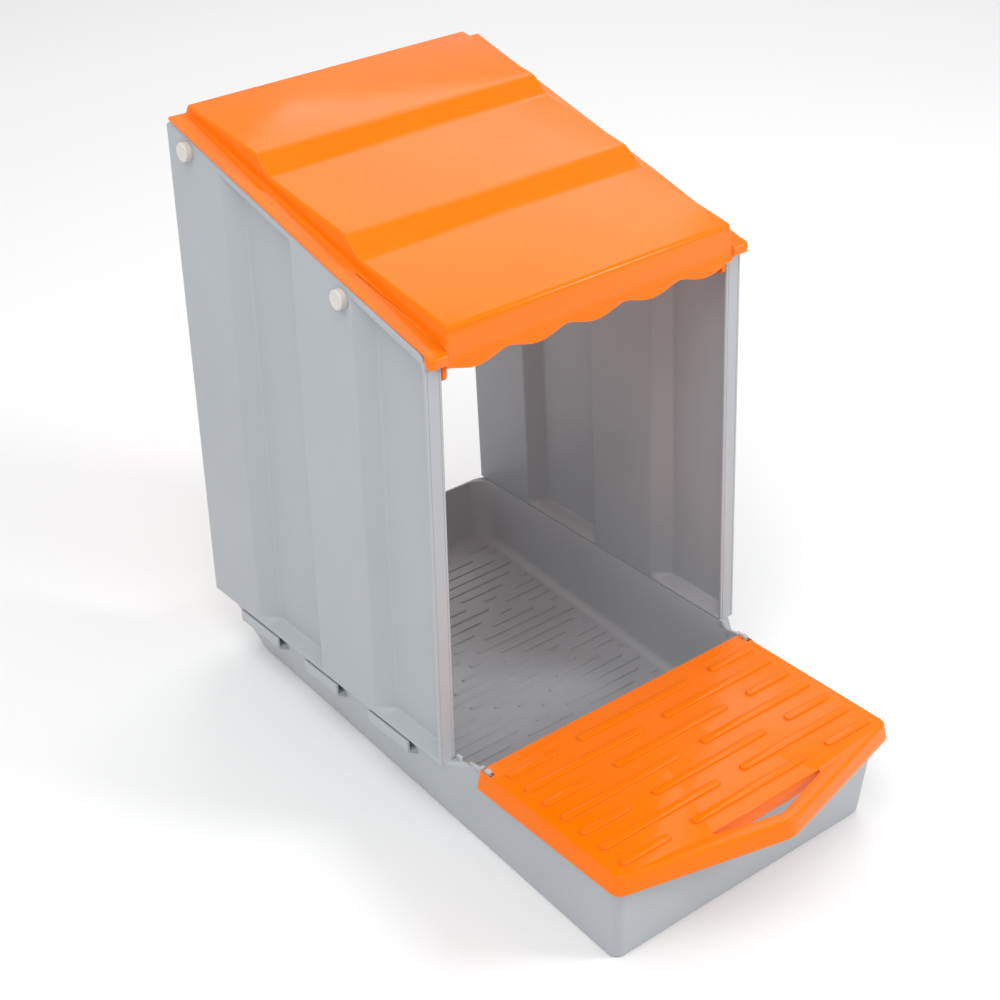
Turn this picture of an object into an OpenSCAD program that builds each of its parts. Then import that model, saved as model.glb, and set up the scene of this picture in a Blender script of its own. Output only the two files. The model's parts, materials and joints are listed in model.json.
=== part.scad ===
// Poultry nesting box with a roll-away egg tray: a base tray, two side panels,
// a stepped roof, a hinged tray lid and four press pins. Sizes are millimetres.
//
// Two frames are used. In the part's own frame the flat underside lies on z = 0.
// Panels, roof and lid lean back from it, so they are drawn in the leaning frame:
// there z = 0 is the panels' foot, y = 0 the middle of their depth, and the
// front of the box faces -Y. leaning() places that frame in the part's own one.

/* [Nest] */
// Width over the outer faces of the side panels
nest_w = 304; // [280:1:340]
// Lean of panels, roof and lid away from square to the underside, in degrees
lean = 3.8; // [3:0.1:4.5]
// Wall of every moulding
wall = 2.4; // [2:0.1:2.8]

/* [Side panels] */
// Depth of a side panel, front edge to rear edge
panel_d = 320; // [312:1:324]
// Height of a side panel at its rear edge
panel_rear_h = 422; // [418:1:424]
// Height of a side panel at its front edge
panel_front_h = 337; // [333:1:339]
// Thickness of a side panel over its corrugation
panel_t = 14.5; // [13.5:0.5:16]
// Inward lean of each side panel about its foot, in degrees
panel_lean = 1; // [0.6:0.1:1.2]

/* [Base tray] */
// Height of the rear wall's foot below the panels' foot
tray_rear_drop = 55.8; // [50:0.2:60]
// Width of the flat underside
tray_foot_w = 257.4; // [240:0.2:258]
// Width over the rims of the egg trough in front
trough_w = 268.4; // [260:0.2:268.4]
// Radius between the floor and the walls
floor_fillet = 7; // [3:1:10]

/* [Roof] */
// Width of the stepped part of the roof at the eaves
roof_step_w = 264; // [258:1:264]
// How far the lobes of the front edge hang below the notches between them
lobe_drop = 6; // [4:1:9]
// Number of lobes along the front edge
lobe_count = 5; // [3:1:7]

/* [Tray lid] */
// Width of the lid over its skirt
lid_w = 273.6; // [272.8:0.2:276]
// Height of the skirt
skirt_h = 15.5; // [12:0.5:17]
// Height of the grip ribs above the lid's face
lid_rib_h = 2; // [1:0.5:3]
// Width of a grip rib
lid_rib_w = 7; // [4:0.5:9]

/* [Press pins] */
// Diameter of a pin's head
pin_head_d = 15; // [13:0.2:18]
// Height of a pin's head
pin_head_h = 6; // [4:0.5:7]
// Diameter of a pin's shank
pin_shank_d = 8; // [6:0.5:9]

/* [Hidden] */
$fn = 48;
eps = 0.5;                        // how far a cutting solid runs past the face it cuts
orange = [1.0, 0.45, 0.05];
grey = [0.68, 0.71, 0.73];
white = [0.93, 0.92, 0.90];

// Leaning frame to the part's own frame.
tray_rear_y = 142;                // rear edge of the underside, in the leaning frame
lift = tray_rear_y * sin(lean) + tray_rear_drop * cos(lean);
nose_y = -378.5;                  // front point of the lid, before it is rounded
nose_r = 30;
lid_corner = -344;                // where the lid's side edges turn to the nose
lid_slope = (lid_corner - nose_y) / (lid_w / 2);
nose_cut = nose_r * (sqrt(1 + lid_slope * lid_slope) - 1);
skirt_z = 3.5 - skirt_h;          // lower edge of the lid's skirt
far_front = (nose_y + nose_cut) * cos(lean) + skirt_z * sin(lean);
far_rear = panel_d / 2 * cos(lean) + panel_rear_h * sin(lean);
y_shift = -(far_front + far_rear) / 2;
function own(p) = [p[0], p[1] * cos(lean) + p[2] * sin(lean) + y_shift,
                   -p[1] * sin(lean) + p[2] * cos(lean) + lift];

// Side panels. A section through the panel is a folded sheet with two pockets.
half_w = nest_w / 2;
inner_w = half_w - panel_t;       // inner face of a side panel
pocket_x = panel_t - wall;        // depth of a pocket
front_y = -panel_d / 2;
rear_y = panel_d / 2;
top_slope = (panel_rear_h - panel_front_h) / panel_d;
pocket_1 = [-3, 74, 89];          // step, end of the floor, end of the slope
pocket_2 = [front_y + wall, -90, -76];
fold = 1.5;                       // shift of a slope's inner side that keeps its wall
rim_top = 6;                      // plain margin under the panel's top edge
ledge_h = 7.5;                    // height of the sloping ledge at the foot of a pocket
tongue_t = 2.4;
tongue_h = 9;

// Sockets of the base tray, rear to front: [front end, rear end].
sockets = [[64, 120], [-22, 24], [-118, -66]];
socket_top = -2.4;
socket_foot = -14.4;
socket_side = 8;                  // how far a tongue stops short of a socket's open end
socket_chamfer = 2;               // along the socket's lower outer edge
socket_root = 8;                  // how much deeper the socket reaches at the tray's wall
above = 5;                        // how far cutting solids rise above the panels' foot

// Base tray.
seat_w = half_w - 5;              // outer edge of the panels' seat
nest_rim = inner_w - 0.7;         // inner edge of the rim beside the nest
socket_back = seat_w - 5.5;       // inner face of a socket's hollow
flare = [-178, -160];             // where the trough's narrower walls meet the seat
trough_front = -339.5;
foot_front = own([0, -330.6, -87.2])[1];
foot_rear = own([0, tray_rear_y, -tray_rear_drop])[1];
floor_t = 2.8;
foot_radii = [9, 18];             // corners of the underside: trough, nest
rim_radii = [10, 20];             // corners of the rim: trough, nest
foot_round = 3;                   // radius between the underside and the walls
channel_ends = [8, 22];           // solid ends of the seat: front, rear
channel_foot = [-1.6, -10.4, -26];  // its foot: from the inner rim, from the outer rim, level
stop_y = [-6, -1.2];              // panel stops, from the panels' front edge
stop_x = [-2.7, 0.3];             // from the panels' inner face
stop_z = [-3, 3.6];
arc_steps = 8;

// Roof.
roof_profile = [[-162, 357], [-68, 373], [-51, 386], [44, 402], [58, 415], [148, 429]];
eave_w = half_w - 5.5;
eave_gap = panel_t * sin(panel_lean);   // the tipped panels' outer edges stand this much higher
eave_front = -168;
eave_rear = 152;
lip_h = 7.5;                      // height of the eaves' front lip
side_draft = 3;                   // how much the stepped part narrows towards its top
notch_z = 327;                    // height of the notches between the lobes
valance_y = -166;
hanger_h = 24;                    // height of the hangers that take the press pins
hanger_t = 4;
hanger_gap = 0.6;                 // between a hanger and its panel
hanger_rear = eave_rear - 4;
hanger_up = 1;                    // how far a hanger runs up into the eave
front_bend = 1;                   // drop of the steps' front edge that rounds it off
rear_bend = 2;
lip_end = front_y - 2;
step_h = 60;                      // more than the height of the steps above the eaves
reach = 250;                      // half length of the roof's cutting solids

// Press pins.
pin_y = [130.7, -66.4];
pin_below = 13.2;                 // centre of a pin below the panel's top edge
pin_fit = 0.05;                   // clearance round a shank
pin_ring = 0.4;                   // how much wider a boss is than the pin's head
pin_edge = 1.2;                   // chamfer round the head
shank_edge = [1, 1.5];            // chamfer at the shank's end: across, along
shank_l = panel_t + hanger_gap + hanger_t + 2;

// Lid.
lid_top = 3.5;
lid_t = 2.2;
lid_rear = -187.4;
lid_corner_r = 9;
skirt_t = 1.8;
hinge_y = -189.4;
hinge_z = 1.4;
cheek_y = [flare[0] + 6, hinge_y + 5];
cheek_z = [1.2, 3.4];             // a cheek's upper edge at those two places
cheek_foot = -6;
hinge_r = 2.1;
hinge_fit = 0.05;
hinge_mouth = 1.8;                // half width of the cradle's mouth, which the bar snaps through
lug_slot = [lid_w / 2 - 6.8, lid_w / 2 - skirt_t];
lug_x = [lug_slot[0] + 0.6, lug_slot[1] - 0.6];
grip = [[-64, -349], [0, -366], [64, -349]];
grip_radii = [1.2, 6, 1.2];
rib_rows = 7;
rib_pitch = 20.8;
rib_first = -208;
rib_ends = 123;                   // outer ends of the rib rows
rib_gap = 11;                     // half the gap between two ribs
rib_third = 57;                   // half length of the middle rib in a row of three
slot_wall_t = 2;                  // wall under the grip slot's rear edge
lug_slot_l = 11.6;                // length of the slots that take the cradles
cradle_fit = 3;                   // half size of the gap in the rim under the hinge line
cradle_side = 1;
// Side view of a cradle, y from the hinge line.
cradle = [[5.4, -10], [5.4, 4], [4.6, 4.8], [1.7, 4.8], [-1.7, 6], [-5.6, 6], [-6.6, 5],
          [-6.6, -10]];
cradle_top = 10;                  // above its highest point

function top_z(y) = panel_front_h + (y - front_y) * top_slope;
function mix(a, b, t) = a + (b - a) * t;
function arc(cx, cy, r, a0, a1) =
    [for (k = [0 : arc_steps])
        [cx + r * cos(mix(a0, a1, k / arc_steps)), cy + r * sin(mix(a0, a1, k / arc_steps))]];
function mirrored(right) = concat(right,
    [for (i = [len(right) - 1 : -1 : 0]) [-right[i][0], right[i][1]]]);

// One corner p of an outline between its neighbours a and b, rounded to radius r.
function round_corner(a, p, b, r) =
    let (u = (a - p) / norm(a - p), v = (b - p) / norm(b - p),
         half = acos(u * v) / 2,
         c = p + (u + v) / norm(u + v) * r / sin(half),
         s = p + u * r / tan(half) - c,
         turn = (u[0] * v[1] - u[1] * v[0] > 0 ? -1 : 1) * (180 - 2 * half))
    [for (k = [0 : arc_steps])
        let (w = turn * k / arc_steps)
        c + [s[0] * cos(w) - s[1] * sin(w), s[0] * sin(w) + s[1] * cos(w)]];
function rounded(pts, radii) =
    [for (i = [0 : len(pts) - 1])
        let (n = len(pts), r = radii[i])
        each (r > 0 ? round_corner(pts[(i + n - 1) % n], pts[i], pts[(i + 1) % n], r)
                    : [pts[i]])];

module leaning() translate([0, y_shift, lift]) rotate([-lean, 0, 0]) children();
// Tips what stands on one side (1 right, -1 left) inward about the inner edge of its panel's foot.
module inward(side) translate([side * inner_w, 0, 0]) rotate([0, -side * panel_lean, 0])
    translate([-side * inner_w, 0, 0]) children();
// Extrudes a side view (y, z) across x.
module across(x0, x1) translate([x0, 0, 0]) rotate([90, 0, 90]) linear_extrude(x1 - x0) children();
// Extrudes a front view (x, z) along y.
module lengthwise(y0, y1) translate([0, y1, 0]) rotate([90, 0, 0]) linear_extrude(y1 - y0) children();
module both_sides() {
    children();
    mirror([1, 0, 0]) children();
}
module box(lo, hi) translate(lo) cube(hi - lo);

// A solid through a stack of rings that have the same number of points.
module loft(rings) {
    n = len(rings[0]);
    last = len(rings) - 1;
    sides = [for (i = [0 : last - 1], j = [0 : n - 1], upper = [0, 1])
        let (a = i * n + j, b = i * n + (j + 1) % n)
        upper == 0 ? [a, a + n, b] : [b, a + n, b + n]];
    polyhedron(points = [for (ring = rings) each ring],
        faces = concat([[for (j = [0 : n - 1]) j]], sides,
            [[for (j = [n - 1 : -1 : 0]) last * n + j]]));
}

// Plan of the tray at one level: beside the nest, in the trough, and where the two meet.
function tray_plan(nest, trough, y0, y1, r, f) = mirrored(concat(
    arc(trough - r[0], y0 + r[0], r[0], -90, 0), [[trough, f[0]], [nest, f[1]]],
    arc(nest - r[1], y1 - r[1], r[1], 0, 90)));
function tray_foot(inset) =
    [for (p = tray_plan(tray_foot_w / 2 - inset, tray_foot_w / 2 - inset, foot_front + inset,
                        foot_rear - inset, foot_radii, flare + [y_shift, y_shift]))
        [p[0], p[1], 0]];
function tray_rim(nest, inset) =
    [for (p = tray_plan(nest, trough_w / 2 - inset, trough_front + inset, rear_y - inset,
                        rim_radii, flare))
        own([p[0], p[1], 0])];
// Points of the tray's wall between foot and rim, at height h above the underside.
function wall_ring(foot, rim, h) =
    [for (i = [0 : len(foot) - 1]) foot[i] + (rim[i] - foot[i]) * h / rim[i][2]];
function fillet_inset(a, r) = r * (1 - sin(a));
function fillet_rise(a, r) = r * (1 - cos(a));

module tray_outside() {
    r = foot_round;
    loft(concat(
        [for (a = [0 : 22.5 : 90])
            wall_ring(tray_foot(fillet_inset(a, r)), tray_rim(seat_w - fillet_inset(a, r),
                fillet_inset(a, r)), fillet_rise(a, r))],
        [tray_rim(seat_w, 0)]));
}
module tray_inside() {
    r = floor_fillet;
    top = tray_rim(nest_rim, wall);
    loft(concat(
        [for (a = [0 : 15 : 90])
            wall_ring(tray_foot(wall + fillet_inset(a, r)),
                tray_rim(nest_rim - fillet_inset(a, r), wall + fillet_inset(a, r)),
                floor_t + fillet_rise(a, r))],
        [[for (p = top) p + [0, 0, 0.01]], [for (p = top) p + [0, 0, 2 * above]]]));
}
module socket(ends) {
    difference() {
        lengthwise(ends[0], ends[1])
            polygon([[nest_rim + 1, socket_top], [half_w, socket_top],
                     [half_w, socket_foot + socket_chamfer], [half_w - socket_chamfer, socket_foot],
                     [nest_rim, socket_foot - socket_root]]);
        socket_hollow(ends);
    }
}
module socket_hollow(ends)
    box([socket_back, ends[0] - eps, socket_foot + wall], [half_w - wall, ends[1] - wall, above]);
// Space between the inner and the outer wall under each panel.
module seat_channel()
    lengthwise(front_y + channel_ends[0], rear_y - channel_ends[1])
        polygon([[nest_rim + wall, 1], [seat_w - wall, 1], [seat_w + channel_foot[1], channel_foot[2]],
                 [nest_rim + channel_foot[0], channel_foot[2]]]);
// Gusset between the trough's rim and the panel's front edge.
module cheek() across(trough_w / 2 - wall, trough_w / 2)
    polygon([[cheek_y[0], cheek_foot], [cheek_y[0], cheek_z[0]], [cheek_y[1], cheek_z[1]],
             [cheek_y[1], cheek_foot]]);
// Block on the trough's rim with the U-shaped way that the lid's hinge bar snaps down into.
module hinge_cradle() difference() {
    across(lug_x[0], lug_x[1]) polygon([for (p = cradle) p + [hinge_y, 0]]);
    translate([0, hinge_y, hinge_z]) rotate([0, 90, 0])
        cylinder(r = hinge_r + hinge_fit, h = half_w);
    box([0, hinge_y - hinge_mouth, hinge_z], [half_w, hinge_y + hinge_mouth, cradle_top]);
}
// Gap in the trough's rim that the cradle stands in.
module hinge_notch()
    box([lug_x[0] - cradle_side, hinge_y - cradle_fit, hinge_z - cradle_fit],
        [lug_x[1] + cradle_side, hinge_y + cradle_fit, cradle_top]);
// Nub in front of a panel that keeps it from sliding forward.
module panel_stop() box([inner_w + stop_x[0], front_y + stop_y[0], stop_z[0]],
                        [inner_w + stop_x[1], front_y + stop_y[1], stop_z[1]]);

module base_tray() color(grey) {
    difference() {
        union() {
            tray_outside();
            leaning() both_sides() for (ends = sockets) socket(ends);
        }
        tray_inside();
        leaning() both_sides() {
            seat_channel();
            for (ends = sockets) socket_hollow(ends);
            hinge_notch();
        }
    }
    leaning() both_sides() {
        cheek();
        hinge_cradle();
        panel_stop();
    }
}

module panel_outline(margin, top_margin)
    polygon([[front_y + margin, margin], [rear_y - margin, margin],
             [rear_y - margin, top_z(rear_y - margin) - top_margin],
             [front_y + margin, top_z(front_y + margin) - top_margin]]);
// Plan of the folded sheet; x = 0 is the face that the pockets open to.
module folded_sheet()
    polygon([[0, rear_y], [0, pocket_1[2]], [pocket_x, pocket_1[1]], [pocket_x, pocket_1[0]],
             [0, pocket_1[0]], [0, pocket_2[2]], [pocket_x, pocket_2[1]], [pocket_x, pocket_2[0]],
             [0, pocket_2[0]], [0, front_y], [panel_t, front_y], [panel_t, pocket_2[1] + fold],
             [wall, pocket_2[2] + fold], [wall, pocket_1[0] - wall],
             [panel_t, pocket_1[0] - wall], [panel_t, pocket_1[1] + fold],
             [wall, pocket_1[2] + fold], [wall, rear_y - wall], [panel_t, rear_y - wall],
             [panel_t, rear_y]]);
module pocket_ledge(y0, y1)
    lengthwise(y0, y1) polygon([[0, wall], [pocket_x, ledge_h], [pocket_x + 1, wall]]);
module pin_place(y) translate([0, y, top_z(y) - pin_below]) rotate([0, 90, 0]) children();

// One side panel: both sides use the same moulding, the same way round.
module side_panel(side, x0) color(grey) leaning() inward(side) translate([x0, 0, 0]) difference() {
    union() {
        intersection() {
            across(0, panel_t) panel_outline(0, 0);
            union() {
                linear_extrude(panel_rear_h) folded_sheet();
                pocket_ledge(pocket_1[0], pocket_1[1]);
                pocket_ledge(pocket_2[0], pocket_2[1]);
                for (y = pin_y) pin_place(y) cylinder(d = pin_head_d + pin_ring, h = panel_t);
            }
        }
        across(0, panel_t) difference() {
            panel_outline(0, 0);
            panel_outline(wall, rim_top);
        }
        for (ends = sockets)
            box([(panel_t - tongue_t) / 2, ends[0] + socket_side, -tongue_h],
                [(panel_t + tongue_t) / 2, ends[1] - wall - 2, eps]);
    }
    for (y = pin_y) pin_place(y) translate([0, 0, -eps])
        cylinder(d = pin_shank_d + 2 * pin_fit, h = panel_t + 2 * eps);
}
module side_panel_left() side_panel(-1, -half_w);
module side_panel_right() side_panel(1, inner_w);

// The stepped part of the roof as a solid, lowered and narrowed by inset.
module stepped_solid(inset) {
    w = roof_step_w / 2 - inset;
    rear = eave_rear - inset - eps;
    front = valance_y + inset;
    last = roof_profile[len(roof_profile) - 1];
    intersection() {
        across(-half_w, half_w)
            polygon(concat([[rear, 0], [front, 0], [front, roof_profile[0][1] - front_bend - inset]],
                [for (p = roof_profile) [p[0], p[1] - inset]], [[rear, last[1] - rear_bend - inset]]));
        translate([0, 0, top_z(0) - inset]) rotate([atan(top_slope), 0, 0])
            lengthwise(-reach, reach)
                polygon([[-w, -step_h], [-w, 0], [-w + side_draft, step_h / 2],
                         [w - side_draft, step_h / 2], [w, 0], [w, -step_h]]);
    }
}
// Everything between the plane of the eaves and a parallel plane above the steps.
module above_eaves()
    across(-half_w, half_w) polygon([[-reach, top_z(-reach)], [reach, top_z(reach)],
        [reach, top_z(reach) + step_h], [-reach, top_z(-reach) + step_h]]);
module lobed_edge() {
    pitch = roof_step_w / lobe_count;
    lobe_r = (pitch * pitch / 4 + lobe_drop * lobe_drop) / (2 * lobe_drop);
    top = roof_profile[0][1] - wall;
    lengthwise(valance_y, valance_y + wall) intersection() {
        translate([-roof_step_w / 2, notch_z - lobe_drop])
            square([roof_step_w, top - notch_z + lobe_drop]);
        union() {
            translate([-roof_step_w / 2, notch_z]) square([roof_step_w, top - notch_z]);
            for (i = [0 : lobe_count - 1])
                translate([(i - (lobe_count - 1) / 2) * pitch, notch_z - lobe_drop + lobe_r])
                    circle(r = lobe_r, $fn = 180);
        }
    }
}
module eave() {
    z0 = top_z(eave_front) + eave_gap;
    z1 = top_z(eave_rear) + eave_gap;
    across(roof_step_w / 2 - wall - hanger_t, eave_w)
        polygon([[eave_front, z0], [eave_rear, z1], [eave_rear, z1 + wall], [eave_front, z0 + wall]]);
    box([roof_step_w / 2 - wall, eave_front, z0 + wall - lip_h], [eave_w, lip_end, z0 + wall]);
}
// Strip that hangs inside a panel from its front edge to its rear edge.
module hanger() difference() {
    across(inner_w - hanger_gap - hanger_t, inner_w - hanger_gap)
        polygon([[front_y, top_z(front_y) - hanger_h], [hanger_rear, top_z(hanger_rear) - hanger_h],
                 [hanger_rear, top_z(hanger_rear) + hanger_up], [front_y, top_z(front_y) + hanger_up]]);
    for (y = pin_y) pin_place(y) cylinder(d = pin_shank_d + 2 * pin_fit, h = half_w);
}
module roof() color(orange) leaning() {
    difference() {
        intersection() {
            stepped_solid(0);
            above_eaves();
        }
        stepped_solid(wall);
    }
    lobed_edge();
    both_sides() {
        eave();
        inward(1) hanger();
    }
}

// Plan of the lid, moved in from its edge by inset.
function lid_plan(inset, rear) =
    let (x = lid_w / 2 - inset, back = inset * sqrt(1 + lid_slope * lid_slope),
         corner = lid_corner - inset * lid_slope + back, r = lid_corner_r - inset)
    rounded([[-x, rear], [-x, corner], [0, nose_y + back], [x, corner], [x, rear]],
            [0, r, nose_r - inset, r, 0]);
module stadium(x0, x1, w) {
    translate([x0 + w / 2, -w / 2]) square([x1 - x0 - w, w]);
    for (x = [x0 + w / 2, x1 - w / 2]) translate([x, 0]) circle(d = w);
}
module grip_ribs()
    for (row = [0 : rib_rows - 1]) translate([0, rib_first - row * rib_pitch]) {
        if (row % 2 == 0) {
            stadium(-rib_ends, -rib_third - 2 * rib_gap, lid_rib_w);
            stadium(-rib_third, rib_third, lid_rib_w);
            stadium(rib_third + 2 * rib_gap, rib_ends, lid_rib_w);
        } else {
            stadium(-rib_ends, -rib_gap, lid_rib_w);
            stadium(rib_gap, rib_ends, lid_rib_w);
        }
    }
module level(z0, z1) translate([0, 0, z0]) linear_extrude(z1 - z0) children();
module tray_lid() color(orange) leaning() {
    difference() {
        union() {
            difference() {
                level(skirt_z, lid_top) polygon(lid_plan(0, lid_rear));
                level(skirt_z - eps, lid_top - lid_t) polygon(lid_plan(skirt_t, lid_rear + eps));
            }
            level(skirt_z + slot_wall_t, lid_top) translate([grip[0][0], grip[0][1]])
                square([2 * grip[2][0], slot_wall_t]);
            level(lid_top - eps, lid_top + lid_rib_h) grip_ribs();
        }
        level(skirt_z - eps, lid_top + eps) polygon(rounded(grip, grip_radii));
        both_sides() box([lug_slot[0], lid_rear - lug_slot_l, skirt_z - eps],
                         [lug_slot[1], lid_rear + eps, lid_top + eps]);
    }
    both_sides() translate([lug_slot[0] - 1, hinge_y, hinge_z]) rotate([0, 90, 0])
        cylinder(r = hinge_r, h = lug_slot[1] - lug_slot[0] + 2);
}

// A press pin, drawn upright with the underside of its head at z = 0.
module press_pin() {
    rotate_extrude($fn = 64)
        polygon([[0, -shank_l], [pin_shank_d / 2 - shank_edge[0], -shank_l],
                 [pin_shank_d / 2, -shank_l + shank_edge[1]], [pin_shank_d / 2, 0],
                 [pin_head_d / 2, 0], [pin_head_d / 2, pin_head_h - pin_edge],
                 [pin_head_d / 2 - pin_edge, pin_head_h], [0, pin_head_h]]);
}
module left_pin(y) color(white) leaning() inward(-1) translate([-half_w, 0, 0]) pin_place(y)
    mirror([0, 0, 1]) press_pin();
module right_pin(y) color(white) leaning() inward(1) translate([half_w, 0, 0]) pin_place(y)
    press_pin();
module pin_left_rear() left_pin(pin_y[0]);
module pin_left_front() left_pin(pin_y[1]);
module pin_right_rear() right_pin(pin_y[0]);
module pin_right_front() right_pin(pin_y[1]);

base_tray();
side_panel_left();
side_panel_right();
roof();
tray_lid();
pin_left_rear();
pin_left_front();
pin_right_rear();
pin_right_front();
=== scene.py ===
"""Looks of a poultry nesting box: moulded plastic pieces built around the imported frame.

Lengths are millimetres in the leaning frame of panels, roof and lid (z = 0 at the
panels' foot, y = 0 the middle of their depth) until make() turns them into metres.
"""

import json
import math

import bmesh
import bpy
from mathutils import Matrix, Vector


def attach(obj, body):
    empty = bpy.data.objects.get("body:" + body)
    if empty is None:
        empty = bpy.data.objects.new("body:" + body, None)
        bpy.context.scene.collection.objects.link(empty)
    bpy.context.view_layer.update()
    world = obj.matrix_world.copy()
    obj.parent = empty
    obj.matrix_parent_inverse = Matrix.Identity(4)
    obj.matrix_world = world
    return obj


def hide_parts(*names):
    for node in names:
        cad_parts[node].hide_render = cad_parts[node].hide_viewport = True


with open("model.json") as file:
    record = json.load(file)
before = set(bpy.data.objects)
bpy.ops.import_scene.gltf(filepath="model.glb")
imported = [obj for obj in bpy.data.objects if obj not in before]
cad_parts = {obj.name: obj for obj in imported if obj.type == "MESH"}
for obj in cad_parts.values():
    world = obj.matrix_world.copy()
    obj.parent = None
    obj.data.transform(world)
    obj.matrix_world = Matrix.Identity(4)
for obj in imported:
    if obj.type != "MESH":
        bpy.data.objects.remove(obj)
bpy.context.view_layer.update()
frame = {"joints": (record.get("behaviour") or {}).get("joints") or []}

# ---------------------------------------------------------------- frame and sizes
LEAN = math.radians(3.8)
PANEL_LEAN = math.radians(1.0)
COS, SIN = math.cos(LEAN), math.sin(LEAN)
HINGE_Y, HINGE_Z = -189.4, 1.4
hinge = [1000 * c for c in frame["joints"][0]["pos_m"]]
Y_SHIFT = hinge[1] - HINGE_Y * COS - HINGE_Z * SIN
LIFT = hinge[2] + HINGE_Y * SIN - HINGE_Z * COS

HALF_W = 152.0
PANEL_T = 14.5
INNER_W = HALF_W - PANEL_T
FRONT_Y, REAR_Y = -160.0, 160.0
PANEL_FRONT_H, PANEL_REAR_H = 337.0, 422.0
WALL = 2.4
TOP_SLOPE = (PANEL_REAR_H - PANEL_FRONT_H) / (REAR_Y - FRONT_Y)
EAVE_GAP = PANEL_T * math.sin(PANEL_LEAN)
PIN_Y = (130.7, -66.4)
PIN_BELOW = 13.2                 # centre of a pin below the panels' sloping top line
SOCKETS = ((64, 120), (-22, 24), (-118, -66))
MERGE = 1e-6                     # metres; nearer points of a mesh become one
SMOOTH_ANGLE = 34                # degrees; edges that turn more are shaded sharp


def own(p):
    """Leaning frame to the part's own frame."""
    return (p[0], p[1] * COS + p[2] * SIN + Y_SHIFT, -p[1] * SIN + p[2] * COS + LIFT)


def straight(p):
    return p


def tipped(side):
    """Places a point of a side's panel, tipped inward about its foot."""
    def place(p):
        dx = p[0] - side * INNER_W
        c, s = math.cos(PANEL_LEAN), -side * math.sin(PANEL_LEAN)
        return own((side * INNER_W + dx * c + p[2] * s, p[1], -dx * s + p[2] * c))
    return place


def top_z(y):
    return PANEL_FRONT_H + (y - FRONT_Y) * TOP_SLOPE


def mix(a, b, t):
    return a + (b - a) * t


# ---------------------------------------------------------------- outlines
def arc(cx, cy, r, a0, a1, steps=8):
    return [(cx + r * math.cos(math.radians(mix(a0, a1, k / steps))),
             cy + r * math.sin(math.radians(mix(a0, a1, k / steps)))) for k in range(steps + 1)]


def round_corner(a, p, b, r, steps):
    """Corner p between a and b, as an arc of radius r."""
    p, a, b = Vector(p), Vector(a), Vector(b)
    u, v = (a - p).normalized(), (b - p).normalized()
    half = math.acos(max(-1, min(1, u.dot(v)))) / 2
    if r <= 0 or half > 1.56:
        return [tuple(p)]
    c = p + (u + v).normalized() * r / math.sin(half)
    s = p + u * r / math.tan(half) - c
    turn = (-1 if u.x * v.y - u.y * v.x > 0 else 1) * (math.pi - 2 * half)
    out = []
    for k in range(steps + 1):
        w = turn * k / steps
        out.append((c.x + s.x * math.cos(w) - s.y * math.sin(w),
                    c.y + s.x * math.sin(w) + s.y * math.cos(w)))
    return out


def rounded(pts, radii, steps=6, closed=True):
    out = []
    for i, p in enumerate(pts):
        if not closed and i in (0, len(pts) - 1):
            out.append(tuple(p))
        else:
            out += round_corner(pts[i - 1], p, pts[(i + 1) % len(pts)], radii[i], steps)
    return out


def fillet(r, steps):
    """(inset, rise) pairs of a quarter turn, from a flat face round into a wall."""
    turns = [math.radians(90 * k / steps) for k in range(steps + 1)]
    return [(r * (1 - math.sin(a)), r * (1 - math.cos(a))) for a in turns]


def along(profile, t):
    """Value at t of a polyline whose first coordinates rise."""
    if t <= profile[0][0]:
        return profile[0][1]
    for (a, u), (b, v) in zip(profile, profile[1:]):
        if t <= b:
            return u if b == a else mix(u, v, (t - a) / (b - a))
    return profile[-1][1]


# ---------------------------------------------------------------- mesh code
class Shape:
    """Vertices and faces of a piece; islands are added one after another."""

    def __init__(self):
        self.verts, self.faces = [], []

    def add(self, verts, faces):
        n = len(self.verts)
        self.verts += [tuple(v) for v in verts]
        self.faces += [tuple(n + i for i in f) for f in faces]

    def loft(self, rings, cap=True):
        n, m = len(rings[0]), len(rings)
        faces = [(i * n + j, i * n + (j + 1) % n, (i + 1) * n + (j + 1) % n, (i + 1) * n + j)
                 for i in range(m - 1) for j in range(n)]
        if cap:
            faces += [tuple(range(n)), tuple((m - 1) * n + j for j in range(n))]
        self.add([p for r in rings for p in r], faces)

    def across(self, outline, x0, x1):
        """Side view (y, z) extruded across x."""
        self.loft([[(x, y, z) for y, z in outline] for x in (x0, x1)])

    def lengthwise(self, outline, y0, y1):
        """Front view (x, z) extruded along y."""
        self.loft([[(x, y, z) for x, z in outline] for y in (y0, y1)])

    def both_sides(self, build):
        for side in (1, -1):
            half = Shape()
            build(half)
            self.add([(side * x, y, z) for x, y, z in half.verts], half.faces)


def smooth(mesh, limit):
    bm = bmesh.new()
    bm.from_mesh(mesh)
    for f in bm.faces:
        f.smooth = True
    for e in bm.edges:
        e.smooth = e.calc_face_angle(0) < math.radians(limit)
    bm.to_mesh(mesh)
    bm.free()


def dress(piece, body, node, material):
    """Gives a piece its shading, material, body and slot, and hides the CAD node it stands for."""
    smooth(piece.data, SMOOTH_ANGLE)
    piece.data.materials.append(material)
    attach(piece, body)
    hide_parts(node)


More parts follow.
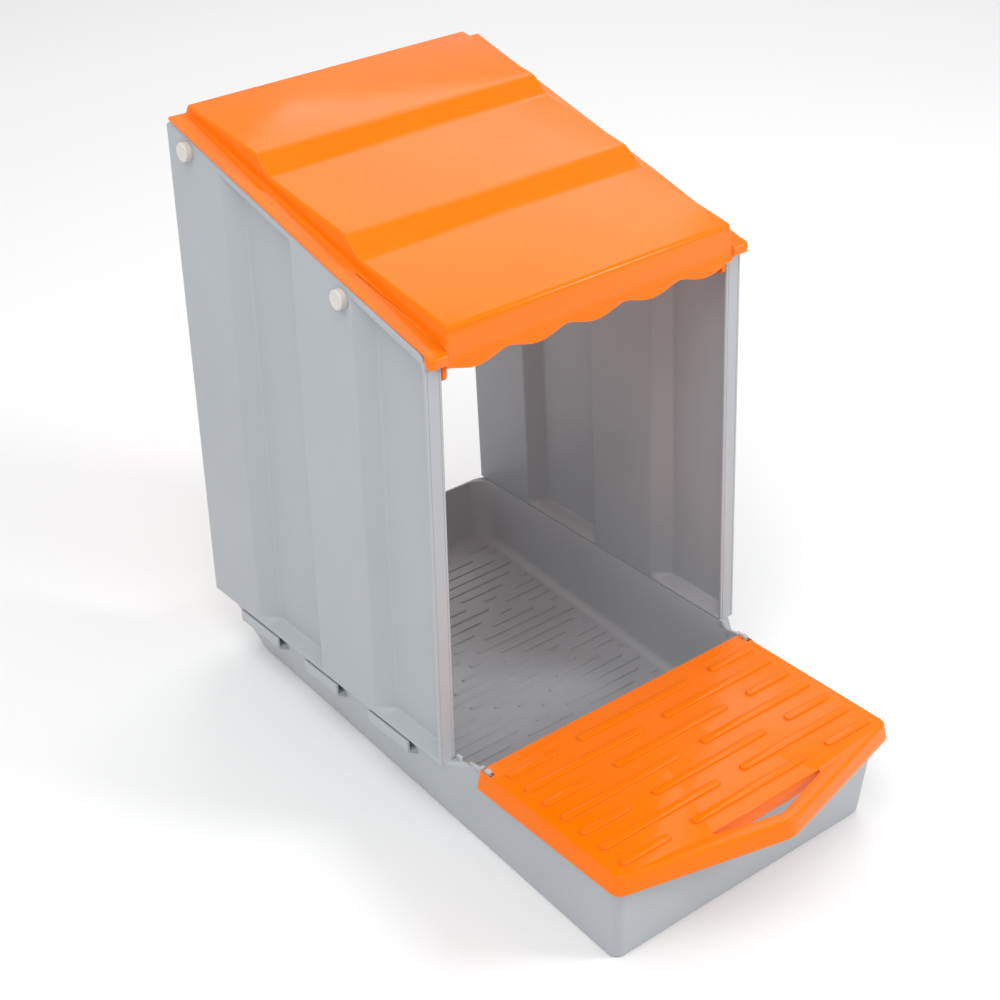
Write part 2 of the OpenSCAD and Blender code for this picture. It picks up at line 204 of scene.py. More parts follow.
def make(name, shape, place, body, node, material, bevel=0.0):
    """Turns a shape into a piece; place() takes its points to the part's own frame."""
    mesh = bpy.data.meshes.new(name)
    mesh.from_pydata([[c / 1000 for c in place(v)] for v in shape.verts], [], shape.faces)
    bm = bmesh.new()
    bm.from_mesh(mesh)
    bmesh.ops.remove_doubles(bm, verts=bm.verts, dist=MERGE)
    bmesh.ops.recalc_face_normals(bm, faces=bm.faces)
    bm.to_mesh(mesh)
    bm.free()
    piece = bpy.data.objects.new(name, mesh)
    bpy.context.scene.collection.objects.link(piece)
    if bevel:
        mod = piece.modifiers.new("edges", "BEVEL")
        mod.width = bevel / 1000
        mod.segments = 3
        mod.limit_method = "ANGLE"
        mod.angle_limit = math.radians(30)
        apply_modifiers(piece)
    dress(piece, body, node, material)


def apply_modifiers(piece):
    bpy.context.view_layer.update()
    done = bpy.data.meshes.new_from_object(piece.evaluated_get(bpy.context.evaluated_depsgraph_get()))
    piece.modifiers.clear()
    piece.data = done


# ---------------------------------------------------------------- materials
def plastic(slot, colour, shade, rough, bump, edge_highlight, gloss):
    """Moulded plastic: faint flow clouds, a fine moulded grain, uneven gloss, and a painted highlight that
    makes convex edges paler.
    """
    mat = bpy.data.materials.new(slot)
    mat["slot"] = slot
    mat.use_nodes = True
    tree = mat.node_tree
    new, link = tree.nodes.new, tree.links.new
    shader = tree.nodes["Principled BSDF"]
    shader.inputs["IOR"].default_value = 1.49
    shader.inputs["Specular IOR Level"].default_value = gloss
    where = new("ShaderNodeTexCoord")

    def noise(scale, detail, roughness=0.5):
        n = new("ShaderNodeTexNoise")
        n.inputs["Scale"].default_value = scale
        n.inputs["Detail"].default_value = detail
        n.inputs["Roughness"].default_value = roughness
        link(where.outputs["Object"], n.inputs["Vector"])
        return n.outputs["Fac"]

    def ramp(value, low, high, a, b):
        r = new("ShaderNodeMapRange")
        r.inputs["From Min"].default_value = low
        r.inputs["From Max"].default_value = high
        r.inputs["To Min"].default_value = a
        r.inputs["To Max"].default_value = b
        link(value, r.inputs["Value"])
        return r.outputs["Result"]

    def blend(factor, a, b):
        m = new("ShaderNodeMix")
        m.data_type = "RGBA"
        link(factor, m.inputs["Factor"])
        for value, socket in ((a, m.inputs[6]), (b, m.inputs[7])):
            if isinstance(value, tuple):
                socket.default_value = (*value, 1)
            else:
                link(value, socket)
        return m.outputs[2]

    clouds = ramp(noise(9, 3), 0.3, 0.7, 0, 1)
    base = blend(clouds, colour, shade)
    specks = ramp(noise(900, 2), 0.66, 0.8, 0, 0.1)
    base = blend(specks, base, tuple(0.82 * c for c in colour))
    geometry = new("ShaderNodeNewGeometry")
    # painted highlight: convex (pointy) edges are lightened towards a paler colour, standing in for light
    # catching them
    edges = ramp(geometry.outputs["Pointiness"], 0.53, 0.62, 0, edge_highlight)
    base = blend(edges, base, tuple(mix(c, 1, 0.35) for c in colour))
    link(base, shader.inputs["Base Color"])
    link(ramp(noise(26, 5, 0.6), 0.3, 0.75, rough - 0.05, rough + 0.07), shader.inputs["Roughness"])

    def bumps(height, strength, distance, normal=None):
        b = new("ShaderNodeBump")
        b.inputs["Strength"].default_value = strength
        b.inputs["Distance"].default_value = distance
        link(height, b.inputs["Height"])
        if normal:
            link(normal, b.inputs["Normal"])
        return b.outputs["Normal"]

    grain = bumps(noise(1500, 2), bump, 0.00005)
    link(bumps(noise(14, 2), 0.02, 0.004, grain), shader.inputs["Normal"])
    return mat


ORANGE = plastic("orange_plastic", (0.93, 0.182, 0.001), (0.91, 0.172, 0.001), 0.17, 0.1, 0.05, 0.17)
GREY = plastic("grey_plastic", (0.42, 0.445, 0.469), (0.403, 0.428, 0.452), 0.4, 0.2, 0.4, 0.4)
WHITE = plastic("white_plastic", (0.68, 0.64, 0.605), (0.65, 0.61, 0.575), 0.38, 0.15, 0.3, 0.4)


# ---------------------------------------------------------------- side panels
POCKET_X = PANEL_T - WALL


def pocket(a, b, c):
    """Depth along y of a pocket: steep at a, floor to b, slope to c, bends rounded."""
    steep = 0.7 if c > b else -0.7
    pts = [(a - 20 * steep, 0), (a, 0), (a + steep, POCKET_X), (b, POCKET_X), (c, 0),
           (c + 20 * steep, 0)]
    radii = [0, 1.2, 1.6, 4.5, 4.5, 0]
    if steep < 0:
        pts.reverse()
        radii.reverse()
    return sorted(rounded(pts, radii, 5, closed=False))


LEFT_ROWS = [pocket(-3, 74, 89), pocket(-157.6, -90, -76)]
RIGHT_ROWS = [pocket(157.6, 90.5, 75.5), pocket(-5.4, -74.5, -88.5)]
EDGE_R = 0.9                     # rounding of the rim's two edges
CORNER_DROP_R = 8.0              # upper corners
TOP_DROP = (0.4, 2.8)            # upper edge below the sloping top line: front, rear
FOOT_BAND, HEAD_BAND = 12, 14    # height of the closely spaced rows at foot and head
MIDDLE_ROWS = 14
BOSS_R = 7.6
TONGUE_T, TONGUE_FOOT = 2.4, -9
TONGUE_ENDS = (8, 2)             # gaps in the socket: open end, closed end


def panel_shape(x0):
    """Side panel with its left face at x0: two height fields, a rim, bosses and tongues."""
    shape = Shape()

    def top_line(y):
        d = min(y - FRONT_Y, REAR_Y - y)
        corner = CORNER_DROP_R - math.sqrt(max(0, CORNER_DROP_R ** 2 - max(0, CORNER_DROP_R - d) ** 2))
        return top_z(y) - mix(*TOP_DROP, (y - FRONT_Y) / (REAR_Y - FRONT_Y)) - corner

    ys = {FRONT_Y + EDGE_R, REAR_Y - EDGE_R}
    for rows in LEFT_ROWS + RIGHT_ROWS:
        ys |= {round(y, 3) for y, d in rows if FRONT_Y + EDGE_R < y < REAR_Y - EDGE_R}
    for k in range(1, 10):
        ys |= {FRONT_Y + EDGE_R + k * 0.8, REAR_Y - EDGE_R - k * 0.8}
    for y in range(-150, 160, 10):
        ys.add(float(y))
    ys = sorted(ys)
    ys = [y for i, y in enumerate(ys) if i == 0 or y - ys[i - 1] > 0.12]

    # rows: heights over the foot, even steps between, and depths below the top line
    foot = [EDGE_R, 1.6, 2.2, 2.5, 2.9, 3.6, 4.6, 5.6, 6.6, 7.2, 7.7, 8.4, 9.6, FOOT_BAND]
    head = [HEAD_BAND, 10, 8.4, 7.6, 7.1, 6.8, 6.5, 6.2, 5.9, 5.4, 4.8, 3.0, EDGE_R]

    # share of a pocket's depth by height over the foot, and by depth below the top line
    foot_left = [(0, 0), (2.1, 0), (2.6, 0.05), (3.3, 0.18), (6.6, 0.83), (7.3, 0.95), (8.2, 1), (60, 1)]
    foot_right = [(0, 0), (1.6, 0), (2.2, 0.08), (2.5, 0.3), (2.9, 0.75), (3.6, 0.95), (4.6, 1), (60, 1)]
    head_both = [(0, 0), (5.4, 0), (5.9, 0.08), (6.2, 0.3), (6.5, 0.62), (6.8, 0.88), (7.6, 0.98),
                 (8.4, 1), (90, 1)]

    def depth(rows, y, low, high, foot_profile):
        d = max(along(r, y) for r in rows)
        return d * along(foot_profile, low) * along(head_both, high)

    grid = []
    for y in ys:
        top = top_line(y)
        zs = list(foot)
        zs += [mix(FOOT_BAND, top - HEAD_BAND, (k + 1) / (MIDDLE_ROWS + 1)) for k in range(MIDDLE_ROWS)]
        zs += [top - h for h in head]
        grid.append([(y, z, top - z) for z in zs])
    ny, nz = len(grid), len(grid[0])
    left = [[(x0 + depth(LEFT_ROWS, y, z, below, foot_left), y, z) for y, z, below in col] for col in grid]
    right = [[(x0 + PANEL_T - depth(RIGHT_ROWS, y, z, below, foot_right), y, z) for y, z, below in col]
             for col in grid]

    def index(k, i, j):
        return k * ny * nz + i * nz + j

    verts = [p for face in (left, right) for col in face for p in col]
    faces = []
    for k in (0, 1):
        for i in range(ny - 1):
            for j in range(nz - 1):
                faces.append((index(k, i, j), index(k, i + 1, j), index(k, i + 1, j + 1),
                              index(k, i, j + 1)))
    # rim: from the left face's border round to the right face's border
    border = [(i, 0) for i in range(ny)] + [(ny - 1, j) for j in range(1, nz)]
    border += [(i, nz - 1) for i in range(ny - 2, -1, -1)] + [(0, j) for j in range(nz - 2, 0, -1)]
    slope = Vector((-TOP_SLOPE, 1)).normalized()
    across = [0.12, 0.5, EDGE_R, 2.0, 2.2, 2.6, 2.8, 7.2, 11.7, 11.9, 12.3, 12.5, PANEL_T - EDGE_R,
              PANEL_T - 0.5, PANEL_T - 0.12]
    groove = {2.2: 0.3, 2.6: 0.3, 11.9: 0.3, 12.3: 0.3}
    rings = []
    for x in across:
        e = min(x, PANEL_T - x, EDGE_R)
        out = math.sqrt(max(0, EDGE_R ** 2 - (EDGE_R - e) ** 2)) - groove.get(x, 0)
        ring = []
        for i, j in border:
            y, z = grid[i][j][:2]
            n = Vector((0, 0))
            if i == 0:
                n += Vector((-1, 0))
            if i == ny - 1:
                n += Vector((1, 0))
            if j == 0:
                n += Vector((0, -1))
            if j == nz - 1:
                n += slope
            ring.append((x0 + x, y + n.x * out, z + n.y * out))
        rings.append(ring)
    base = len(verts)
    nb = len(border)
    verts += [p for r in rings for p in r]
    for k in range(len(rings) - 1):
        for j in range(nb):
            a, b = base + k * nb + j, base + k * nb + (j + 1) % nb
            faces.append((a, b, b + nb, a + nb))
    for j in range(nb):
        i0, j0 = border[j]
        i1, j1 = border[(j + 1) % nb]
        faces.append((index(0, i0, j0), index(0, i1, j1), base + (j + 1) % nb, base + j))
        last = base + (len(rings) - 1) * nb
        faces.append((index(1, i0, j0), index(1, i1, j1), last + (j + 1) % nb, last + j))
    shape.add(verts, faces)
    # bosses round the pins
    for y in PIN_Y:
        c = (y, top_z(y) - PIN_BELOW)
        profile = ((0.03, BOSS_R - 0.4), (0.06, BOSS_R), (0.3, BOSS_R), (0.5, BOSS_R + 0.1),
                   (PANEL_T - 0.8, BOSS_R), (PANEL_T - 0.3, BOSS_R - 0.2), (PANEL_T - 0.04, BOSS_R - 0.7))
        shape.loft([[(x0 + x, u, v) for u, v in arc(*c, r, 0, 352.5, 47)] for x, r in profile])
    for y0, y1 in SOCKETS:
        x = x0 + (PANEL_T - TONGUE_T) / 2
        a, b = y0 + TONGUE_ENDS[0], y1 - WALL - TONGUE_ENDS[1]
        shape.across([(a, TONGUE_FOOT), (b, TONGUE_FOOT), (b, 1), (a, 1)], x, x + TONGUE_T)
    return shape


make("panel_left", panel_shape(-HALF_W), tipped(-1), "nest_box", "side_panel_left", GREY)
make("panel_right", panel_shape(INNER_W), tipped(1), "nest_box", "side_panel_right", GREY)


# ---------------------------------------------------------------- press pins
def pin_shape():
    """Press pin along +x with the underside of its head at x = 0."""
    profile = [(0.6, 5.62), (4.9, 5.62), (5.4, 5.7), (5.8, 5.92), (6.2, 6.0), (6.8, 5.85), (7.25, 5.45),
               (7.48, 4.9), (7.5, 4.3), (7.5, 0.9), (7.4, 0.35), (7.2, 0.05), (6.9, 0), (4.0, 0),
               (4.0, -19.4), (3.8, -20.2), (3.0, -21.0), (0.6, -21.0)]
    shape = Shape()
    shape.loft([[(x, y, z) for y, z in arc(0, 0, r, 0, 354, 59)] for r, x in profile])
    return shape


for side, name in ((-1, "left"), (1, "right")):
    for y, end in zip(PIN_Y, ("rear", "front")):
        pin = pin_shape()
        pin.verts = [(side * (HALF_W + px), y + py, top_z(y) - PIN_BELOW + pz) for px, py, pz in pin.verts]
        make(f"press_pin_{name}_{end}", pin, tipped(side), "nest_box", f"pin_{name}_{end}", WHITE)


# ---------------------------------------------------------------- roof
STEP_W = 132.0
EAVE_W = 146.5
EAVE_FRONT, EAVE_REAR = -168.0, 152.0
VALANCE_Y = -166.0
NOTCH_Z, LOBE_DROP, LOBES = 327.0, 6.0, 5
LOBE_STEPS = 15                  # columns in a lobe
HEM = 1.2                        # height of the row of faces along the lobes
LIP_H = 7.5                      # height of the eaves' front lip
LIP_CORNER_R = 2.6
FOOT_IN = 0.25                   # the steps' sides end this much inside STEP_W
REAR_FOOT_Y = EAVE_REAR - 0.2
BEND = 4.2                       # widest bevel; the weight of an edge is its share of this
ROOF = [(-166, 356.1), (-68, 373), (-51, 386), (44, 402), (58, 415), (151.4, 428.6)]


def eave_z(y):
    return top_z(y) + EAVE_GAP + WALL


def step_w(y, z):
    """Half width of the steps, which narrow by 3 mm in 30 mm of height."""
    return STEP_W - 3 * (z - top_z(y)) / 30


def lobe_z(x):
    wave = abs(math.sin(math.pi * LOBES * (x + STEP_W) / (2 * STEP_W)))
    return NOTCH_Z - LOBE_DROP * wave ** 1.5


def build_roof():
    """Outer skin of the roof with weighted bevels, given its wall by Solidify."""
    bm = bmesh.new()
    weight = bm.edges.layers.float.new("bevel_weight_edge")
    verts = {}

    def v(x, y, z):
        key = (round(x, 4), round(y, 4), round(z, 4))
        if key not in verts:
            verts[key] = bm.verts.new([c / 1000 for c in own((x, y, z))])
        return verts[key]

    def face(*pts):
        bm.faces.new([v(*p) for p in pts])

    def edge(a, b, offset):
        e = bm.edges.get((v(*a), v(*b)))
        if e is None:
            raise ValueError(f"no edge {a} {b}")
        e[weight] = offset / BEND

    def top(s, p):
        return (s * step_w(*p), p[0], p[1])

    def foot(s, y):
        return (s * (STEP_W - FOOT_IN), y, eave_z(y))

    for a, b in zip(ROOF, ROOF[1:]):
        face(top(-1, a), top(1, a), top(1, b), top(-1, b))
    front, rear = ROOF[0], ROOF[-1]
    face(top(-1, rear), top(1, rear), foot(1, REAR_FOOT_Y), foot(-1, REAR_FOOT_Y))
    # valance: an upper sheet and two rows of columns down to the lobes
    level = eave_z(VALANCE_Y) - LIP_H
    count = LOBE_STEPS * LOBES
    xs = [mix(STEP_W, -STEP_W, k / count) for k in range(count + 1)]
    upper = [(x, VALANCE_Y, level) for x in xs]
    hem = [(x, VALANCE_Y, lobe_z(x) + HEM) for x in xs]
    lower = [(x, VALANCE_Y, lobe_z(x)) for x in xs]
    lip_top = {s: foot(s, VALANCE_Y) for s in (-1, 1)}
    face(top(-1, front), top(1, front), lip_top[1], *upper, lip_top[-1])
    for k in range(count):
        face(upper[k], upper[k + 1], hem[k + 1], hem[k])
        face(hem[k], hem[k + 1], lower[k + 1], lower[k])
    for s in (-1, 1):
        stations = [p[0] for p in ROOF[:-1]] + [REAR_FOOT_Y]
        tops = [top(s, p) for p in ROOF]
        for i in range(len(ROOF) - 1):
            face(tops[i], tops[i + 1], foot(s, stations[i + 1]), foot(s, stations[i]))
            edge(tops[i], tops[i + 1], 2.3)
            edge(foot(s, stations[i]), foot(s, stations[i + 1]), 3.0)
            if i:
                a, b = foot(s, stations[i]), foot(s, stations[i + 1])
                face(a, b, (s * EAVE_W, b[1], b[2]), (s * EAVE_W, a[1], a[2]))
        # front end of the eave with its rounded corner and the lip round it
        r = LIP_CORNER_R
        bend = [(s * x, y) for x, y in arc(EAVE_W - r, EAVE_FRONT + r, r, 0, -90, 6)]
        path = [(s * EAVE_W, FRONT_Y - 1.4)] + bend + [(s * (STEP_W - FOOT_IN), EAVE_FRONT)]
        ends = foot(s, stations[1])
        rim = [(x, y, eave_z(y)) for x, y in path]
        face(foot(s, stations[0]), ends, (s * EAVE_W, ends[1], ends[2]), *rim)
        low = [(x, y, level + 2.5 if k == 0 else level) for k, (x, y) in enumerate(path)]
        for k in range(len(path) - 1):
            face(rim[k], rim[k + 1], low[k + 1], low[k])
            edge(rim[k], rim[k + 1], 1.6)
        inner = (s * STEP_W, VALANCE_Y, level)
        face(rim[-1], lip_top[s], inner, low[-1])
        edge(top(s, front), lip_top[s], 3.8)
        edge(top(s, rear), foot(s, REAR_FOOT_Y), 3.4)
    for k, p in enumerate(ROOF):
        offset = {0: 3.2, len(ROOF) - 1: 2.2}.get(k, BEND)
        edge(top(-1, p), top(1, p), offset)
    bmesh.ops.recalc_face_normals(bm, faces=bm.faces)
    up = sum(f.normal.z * f.calc_area() for f in bm.faces)
    if up < 0:
        bmesh.ops.reverse_faces(bm, faces=bm.faces)
    mesh = bpy.data.meshes.new("roof_shell")
    bm.to_mesh(mesh)
    bm.free()
    piece = bpy.data.objects.new("roof_shell", mesh)
    bpy.context.scene.collection.objects.link(piece)
    mod = piece.modifiers.new("bends", "BEVEL")
    mod.limit_method = "WEIGHT"
    mod.width = BEND / 1000
    mod.segments = 5
    mod.use_clamp_overlap = False
    mod.miter_outer = "MITER_SHARP"
    mod = piece.modifiers.new("wall", "SOLIDIFY")
    mod.thickness = WALL / 1000
    mod.offset = -1
    mod.use_even_offset = True
    mod.use_quality_normals = True
    mod = piece.modifiers.new("rims", "BEVEL")
    mod.limit_method = "ANGLE"
    mod.angle_limit = math.radians(52)
    mod.width = 0.0006
    mod.segments = 3
    apply_modifiers(piece)
    dress(piece, "nest_box", "roof", ORANGE)


build_roof()
HANGER_X, HANGER_T = INNER_W - 0.6, 4
HANGER_REAR = EAVE_REAR - 4
HANGER_Z = (-24, 0.6)            # foot and top, from the sloping top line
hanger_view = rounded([(y, top_z(y) + z) for y, z in (
    (FRONT_Y, HANGER_Z[0]), (HANGER_REAR, HANGER_Z[0]), (HANGER_REAR, HANGER_Z[1]), (FRONT_Y, HANGER_Z[1]))],
    [4, 4, 0, 0])
for side, name in ((-1, "left"), (1, "right")):
    hanger = Shape()
    hanger.across(hanger_view, side * (HANGER_X - HANGER_T), side * HANGER_X)
    make(f"roof_hanger_{name}", hanger, tipped(side), "nest_box", "roof", ORANGE, bevel=0.7)


# ---------------------------------------------------------------- tray lid
LID_W = 136.8
LID_TOP = 3.5
SKIRT_Z = -12.0
LID_REAR = -187.4
NOSE_Y, NOSE_R, CORNER_Y, CORNER_R = -378.5, 30.0, -344.0, 9.0
SLOPE = (CORNER_Y - NOSE_Y) / LID_W
LUG = (130.0, 135.0)             # slots that the base's hinge cradles stand in
LUG_SLOT_Y = -199.0
LID_T = 2.2
TOP_EDGE_R = 2.4
DRAFT = 1.2                      # how far the skirt draws in towards the top
FLARE_OUT = 2.2                  # extra splay of the skirt's sides at the lower edge
RIB_W, RIB_H = 7.0, 1.95
RIB_END = 125.5
RIB_ROWS, RIB_FIRST, RIB_PITCH = 7, -208, 20.8
GRIP = [(-64, -349), (0, -366), (64, -349)]


def lid_plan(inset):
    """Right half of the lid's plan from nose to rear middle, then the left half."""
    x = LID_W - inset
    back = inset * math.hypot(1, SLOPE)
    corner = CORNER_Y - inset * SLOPE + back
    nose = round_corner((-x, corner), (0, NOSE_Y + back), (x, corner), NOSE_R - inset, 16)[8:]
    side = round_corner((0, NOSE_Y + back), (x, corner), (x, LID_REAR), CORNER_R - inset, 8)
    arm = max(x, LUG[1] + 0.3)
    half = nose + side + [(x, -260), (x, LUG_SLOT_Y - 4), (arm, LUG_SLOT_Y - 0.5), (arm, LID_REAR),
                          (LUG[1], LID_REAR), (LUG[1], LUG_SLOT_Y), (LUG[0], LUG_SLOT_Y),
                          (LUG[0], LID_REAR)]
    return half + [(0, LID_REAR)] + [(-px, py) for px, py in reversed(half[1:])]


def grip_outline(grow):
    """The hand slot, grown all round; it starts at the middle of its rear edge."""
    pts = [(0, GRIP[0][1] + grow), (GRIP[0][0] - grow * 3.6, GRIP[0][1] + grow),
           (0, GRIP[1][1] - grow * 1.04), (GRIP[2][0] + grow * 3.6, GRIP[2][1] + grow)]
    return rounded(pts, [0, 1.2 + grow, 6 + grow, 1.2 + grow], 8)


def dome(shape, x0, x1, y, z, w, h, foot):
    """Raised rib with round ends: a small foot fillet, drafted sides and a soft crown."""
    steps = 7
    rings = []
    for grow, up in ((foot, -0.25), (foot, 0.0), (0.35 * foot, 0.05 * h), (0.05 * foot, 0.2 * h),
                     (-0.012 * w, 0.7 * h), (-0.025 * w, 0.87 * h), (-0.05 * w, 0.96 * h), (-0.085 * w, h)):
        r = w / 2 + grow
        right = [(x1 - w / 2 + px, y + py) for px, py in arc(0, 0, r, -90, 90, steps)]
        left = [(x0 + w / 2 + px, y + py) for px, py in arc(0, 0, r, 90, 270, steps)]
        rings.append([(px, py, z + up) for px, py in right + left])
    shape.loft(rings)


def lid_shape():
    """Plate and skirt as one loft of plans, with the slot's walls and the ribs added."""
    shape = Shape()
    under, wall_top = LID_TOP - LID_T, LID_TOP - TOP_EDGE_R
    profile = [(DRAFT + inset, LID_TOP - drop) for inset, drop in fillet(TOP_EDGE_R, 5)]
    profile += [(0.75 * DRAFT, -1.5), (0.35 * DRAFT, -7), (0, SKIRT_Z + 0.5), (0.15, SKIRT_Z + 0.12),
                (0.5, SKIRT_Z), (1.3, SKIRT_Z), (1.7, SKIRT_Z + 0.15), (1.8, SKIRT_Z + 0.5), (2.3, -6),
                (3.0, under - 1), (3.3, under - 0.3), (4.0, under)]
    rings = []
    for inset, z in profile:
        # the skirt's sides splay outward towards its lower edge
        splay = 1 + FLARE_OUT / LID_W * max(0, min(1, (wall_top - z) / (wall_top - SKIRT_Z)))
        ring = []
        for x, y in lid_plan(inset):
            # no skirt along the rear edge and round the slots: those points stop at the plate
            at_rear = abs(x) <= LUG[1] and y >= LUG_SLOT_Y
            ring.append((x, y, max(z, under)) if at_rear else (x * splay, y, z))
        rings.append(ring)
    n, half = len(rings[0]), len(rings[0]) // 2
    shape.loft(rings, cap=False)
    holes = []
    for grow, z in ((0.9, LID_TOP), (0.45, LID_TOP - 0.1), (0.12, LID_TOP - 0.4), (0, LID_TOP - 0.9),
                    (0, under + 0.4), (0.3, under)):
        holes.append([(x, y, z) for x, y in grip_outline(grow)])
    m = len(holes[0])
    start = len(shape.verts)
    shape.loft(holes, cap=False)
    bottom = min(range(m), key=lambda i: (round(holes[0][i][1], 3), abs(holes[0][i][0])))
    # plate, above and below: two faces that meet between nose and slot and between slot and rear
    for ring, hole in ((0, 0), (len(rings) - 1, len(holes) - 1)):
        a, b = ring * n, start + hole * m
        right = list(range(a, a + half + 1))
        left = [a] + list(range(a + n - 1, a + half - 1, -1))
        slot_left = [b + i for i in range(0, bottom + 1)]
        slot_right = [b] + [b + i for i in range(m - 1, bottom - 1, -1)]
        shape.faces.append(tuple(right + slot_right))
        shape.faces.append(tuple(left + slot_left))
    for row in range(RIB_ROWS):
        y = RIB_FIRST - row * RIB_PITCH
        if row % 2 == 0:
            spans = [(-RIB_END, -79), (-57, 57), (79, RIB_END)]
        else:
            spans = [(-RIB_END, -11), (11, RIB_END)]
        for x0, x1 in spans:
            dome(shape, x0, x1, y, LID_TOP, RIB_W, RIB_H, 0.7)
    return shape


def small_box(shape, lo, hi):
    shape.loft([[(lo[0], lo[1], z), (hi[0], lo[1], z), (hi[0], hi[1], z), (lo[0], hi[1], z)]
                for z in (lo[2], hi[2])])


make("lid_shell", lid_shape(), own, "lid", "tray_lid", ORANGE)
lid_wall = Shape()
small_box(lid_wall, (-62, -348.8, SKIRT_Z + 2), (62, -347.0, LID_TOP - 1.2))
make("lid_slot_wall", lid_wall, own, "lid", "tray_lid", ORANGE, bevel=0.4)
BAR_R = 2.1
bar = Shape()
bar.both_sides(lambda s: s.across(arc(HINGE_Y, HINGE_Z, BAR_R, 0, 345, 23), LUG[0] - 0.8, LUG[1] + 0.8))
make("lid_hinge_bar", bar, own, "lid", "tray_lid", ORANGE)


# ---------------------------------------------------------------- base tray
SEAT_W = HALF_W - 5
NEST_RIM = INNER_W - 0.7
TROUGH_W = 134.2
FLARE = (-178.0, -160.0)
TROUGH_FRONT = -339.5
FOOT_FRONT = own((0, -330.6, -87.2))[1]
FOOT_REAR = own((0, 142, -55.8))[1]
FOOT_W = 128.7
FLOOR_T = 2.8
FILLET = 7.0                     # between floor and walls
FOOT_R = 3.0                     # between underside and walls
FOOT_CORNERS = (9, 18)           # corner radii of the underside: trough, nest
RIM_CORNERS = (10, 20)


def tray_plan(nest, trough, y0, y1, radii, flare):
    """Plan at one level: half widths of nest and trough, front and rear, corners, flare."""
    r0, r1 = radii
    right = arc(trough - r0, y0 + r0, r0, -90, 0, 10) + [(trough, flare[0]), (nest, flare[1])]
    right += [(nest, mix(flare[1], y1 - r1, k / 4)) for k in (1, 2, 3)]
    right += arc(nest - r1, y1 - r1, r1, 0, 90, 10)
    return right + [(-x, y) for x, y in reversed(right)]


def tray_foot(inset):
    plan = tray_plan(FOOT_W - inset, FOOT_W - inset, FOOT_FRONT + inset, FOOT_REAR - inset,
                     FOOT_CORNERS, [f + Y_SHIFT for f in FLARE])
    return [(x, y, 0) for x, y in plan]


def tray_rim(nest, inset, z=0.0):
    plan = tray_plan(nest, TROUGH_W - inset, TROUGH_FRONT + inset, REAR_Y - inset, RIM_CORNERS, FLARE)
    return [own((x, y, z)) for x, y in plan]


def between(a, b, t):
    """Ring at share t of the way from ring a to ring b."""
    return [tuple(mix(u, v, t) for u, v in zip(p, q)) for p, q in zip(a, b)]


def wall_ring(foot, rim, h):
    """Points of the wall at height h above the underside."""
    return [tuple(mix(a, b, h / r[2]) for a, b in zip(f, r)) for f, r in zip(foot, rim)]


def tray_shape():
    """One loft: up the outside, over the rim and down the inside to the floor."""
    shape = Shape()
    rings = [wall_ring(tray_foot(i), tray_rim(SEAT_W - i, i), h) for i, h in fillet(FOOT_R, 5)]
    rings += [between(rings[-1], tray_rim(SEAT_W, 0, -1.2), t) for t in (0.3, 0.65)]
    for i, z in ((0, -1.2), (0, -0.7), (0.2, -0.25), (0.7, 0)):
        rings.append(tray_rim(SEAT_W - i, i, z))
    for i, z in ((WALL - 0.7, 0), (WALL - 0.2, -0.25), (WALL, -0.7)):
        rings.append(tray_rim(NEST_RIM + WALL - i, i, z))
    top = [wall_ring(tray_foot(WALL + i), tray_rim(NEST_RIM - i, WALL + i), FLOOR_T + h)
           for i, h in reversed(fillet(FILLET, 8))]
    rings += [between(tray_rim(NEST_RIM, WALL, -0.7), top[0], t) for t in (0.35, 0.7)]
    rings += top
    shape.loft(rings)
    return shape


def floor_ribs():
    """Ribs in staggered diamonds: a column's ribs shorten step by step, then lengthen again."""
    shape = Shape()
    column, rows, rear, pitch, side = 67, range(-1, 39), 207.6, 11.1, 118
    for m in range(-2, 3):
        widest = 6 if m % 2 == 0 else 2
        for k in rows:
            away = 4 - abs((k - widest) % 8 - 4)
            if away == 4:
                continue
            half = 57 - 16.75 * away
            x0, x1 = max(column * m - half, -side), min(column * m + half, side)
            if x1 - x0 >= 4:
                dome(shape, x0, x1, rear - pitch * k, FLOOR_T, 2.8, 1.1, 0.5)
    return shape


make("tray_shell", tray_shape(), straight, "nest_box", "base_tray", GREY)
make("tray_floor_ribs", floor_ribs(), straight, "nest_box", "base_tray", GREY)


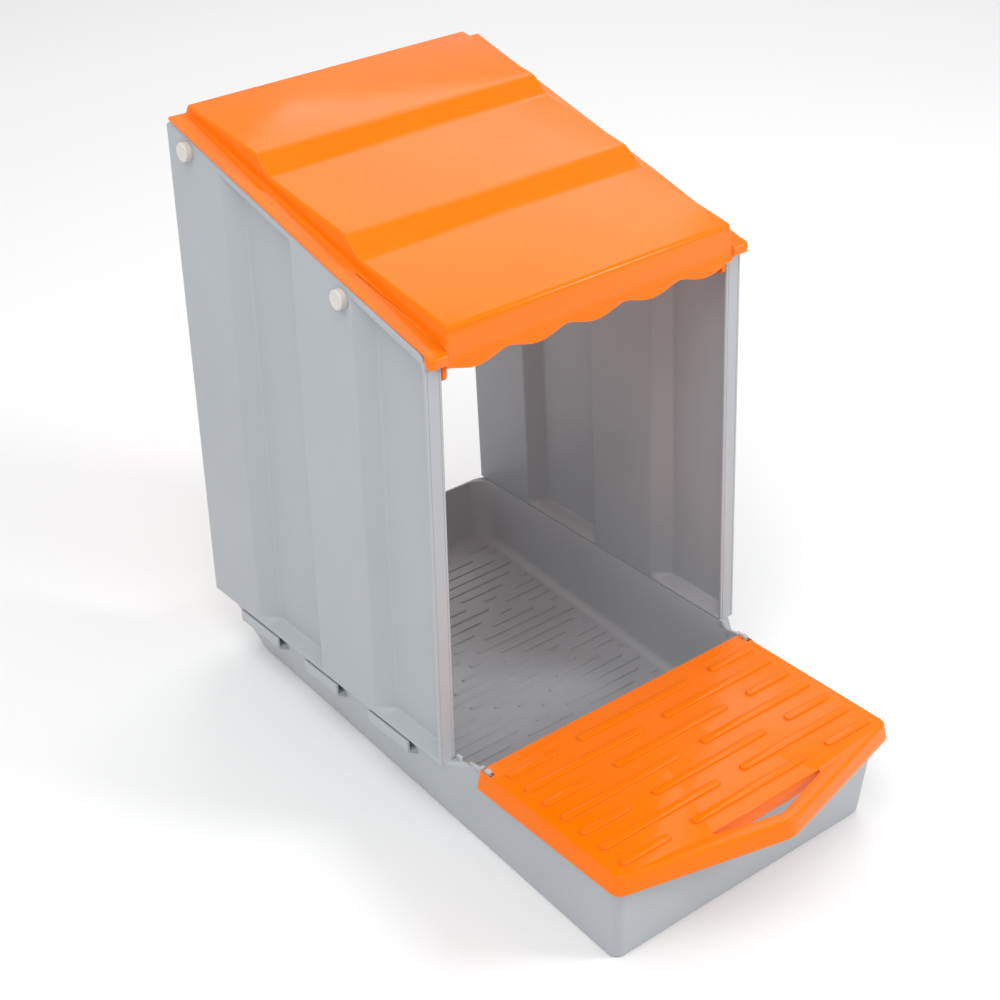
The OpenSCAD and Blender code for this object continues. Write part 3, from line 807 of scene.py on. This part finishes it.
def tray_fittings(shape):
    """Sockets, cheek, hinge cradle and panel stop of the right side."""
    root, top = 139, -2.4
    for y0, y1 in SOCKETS:
        shape.lengthwise([(HALF_W, top), (HALF_W, -12.4), (HALF_W - 2, -14.4), (root, -20.6), (root, -12),
                          (HALF_W - WALL, -12), (HALF_W - WALL, top)], y0, y1)
        shape.lengthwise([(HALF_W - 0.3, top - 0.1), (HALF_W - 0.3, -12), (root, -17), (root, top - 0.1)],
                         y1 - WALL, y1 - 0.1)
    shape.across([(FLARE[0] + 6, -6), (FLARE[0] + 6, 1.2), (HINGE_Y + 5, 3.4), (HINGE_Y + 5, -6)],
                 TROUGH_W - WALL, TROUGH_W)
    mouth, r = 1.8, BAR_R + 0.05
    open_a = math.degrees(math.acos(mouth / r))
    way = arc(HINGE_Y, HINGE_Z, r, open_a, -180 - open_a, 12)
    behind = [(HINGE_Y + y, z) for y, z in ((5.4, -10), (5.4, 4), (4.6, 4.8), (mouth, 4.8))]
    front = [(HINGE_Y + y, z) for y, z in ((-mouth, 6), (-5.6, 6), (-6.6, 5), (-6.6, -10))]
    shape.across(behind + way + front, LUG[0] + 0.6, LUG[1] - 0.6)
    small_box(shape, (INNER_W - 2.7, FRONT_Y - 6, -3), (INNER_W + 0.3, FRONT_Y - 1.2, 3.6))


fittings = Shape()
fittings.both_sides(tray_fittings)
make("tray_fittings", fittings, own, "nest_box", "base_tray", GREY, bevel=0.45)


# ---------------------------------------------------------------- floor, light, camera
def stage_material():
    mat = bpy.data.materials.new("pale_floor")
    mat.use_nodes = True
    shader = mat.node_tree.nodes["Principled BSDF"]
    shader.inputs["Base Color"].default_value = (0.88, 0.88, 0.88, 1)
    shader.inputs["Roughness"].default_value = 0.7
    return mat


bpy.ops.mesh.primitive_plane_add(size=30, location=(0, 0, 0))
floor = bpy.context.object
floor.name = "floor"
floor.data.materials.append(stage_material())

world = bpy.data.worlds.new("studio")
bpy.context.scene.world = world
world.use_nodes = True
world.node_tree.nodes["Background"].inputs["Color"].default_value = (1, 1, 1, 1)
world.node_tree.nodes["Background"].inputs["Strength"].default_value = 0.66
bpy.context.scene.view_settings.view_transform = "Standard"


def area_light(name, power, size, place, aim):
    data = bpy.data.lights.new(name, "AREA")
    data.energy = power
    data.size = size
    lamp = bpy.data.objects.new(name, data)
    lamp.location = place
    lamp.rotation_euler = (Vector(aim) - Vector(place)).to_track_quat("-Z", "Y").to_euler()
    bpy.context.scene.collection.objects.link(lamp)


area_light("key", 26, 1.6, (-1.1, -0.4, 2.1), (0, 0, 0.2))
area_light("back_softbox", 10, 1.3, (1.15, 1.25, 1.95), (0, 0, 0.4))
area_light("front_fill", 21, 0.6, (1.35, -1.5, 1.45), (0, 0, 0.2))

CAMERA_AT = Vector((-0.80154, -0.93421, 1.04076))
RIGHT = Vector((0.78175, -0.62350, 0.01075))
UP = Vector((0.33977, 0.44033, 0.83106))
camera_data = bpy.data.cameras.new("camera")
camera_data.sensor_width = 36
camera_data.lens = 69.31
camera = bpy.data.objects.new("camera", camera_data)
axes = Matrix((RIGHT, UP, RIGHT.cross(UP))).transposed().to_4x4()
camera.matrix_world = Matrix.Translation(CAMERA_AT) @ axes
bpy.context.scene.collection.objects.link(camera)
bpy.context.scene.camera = camera
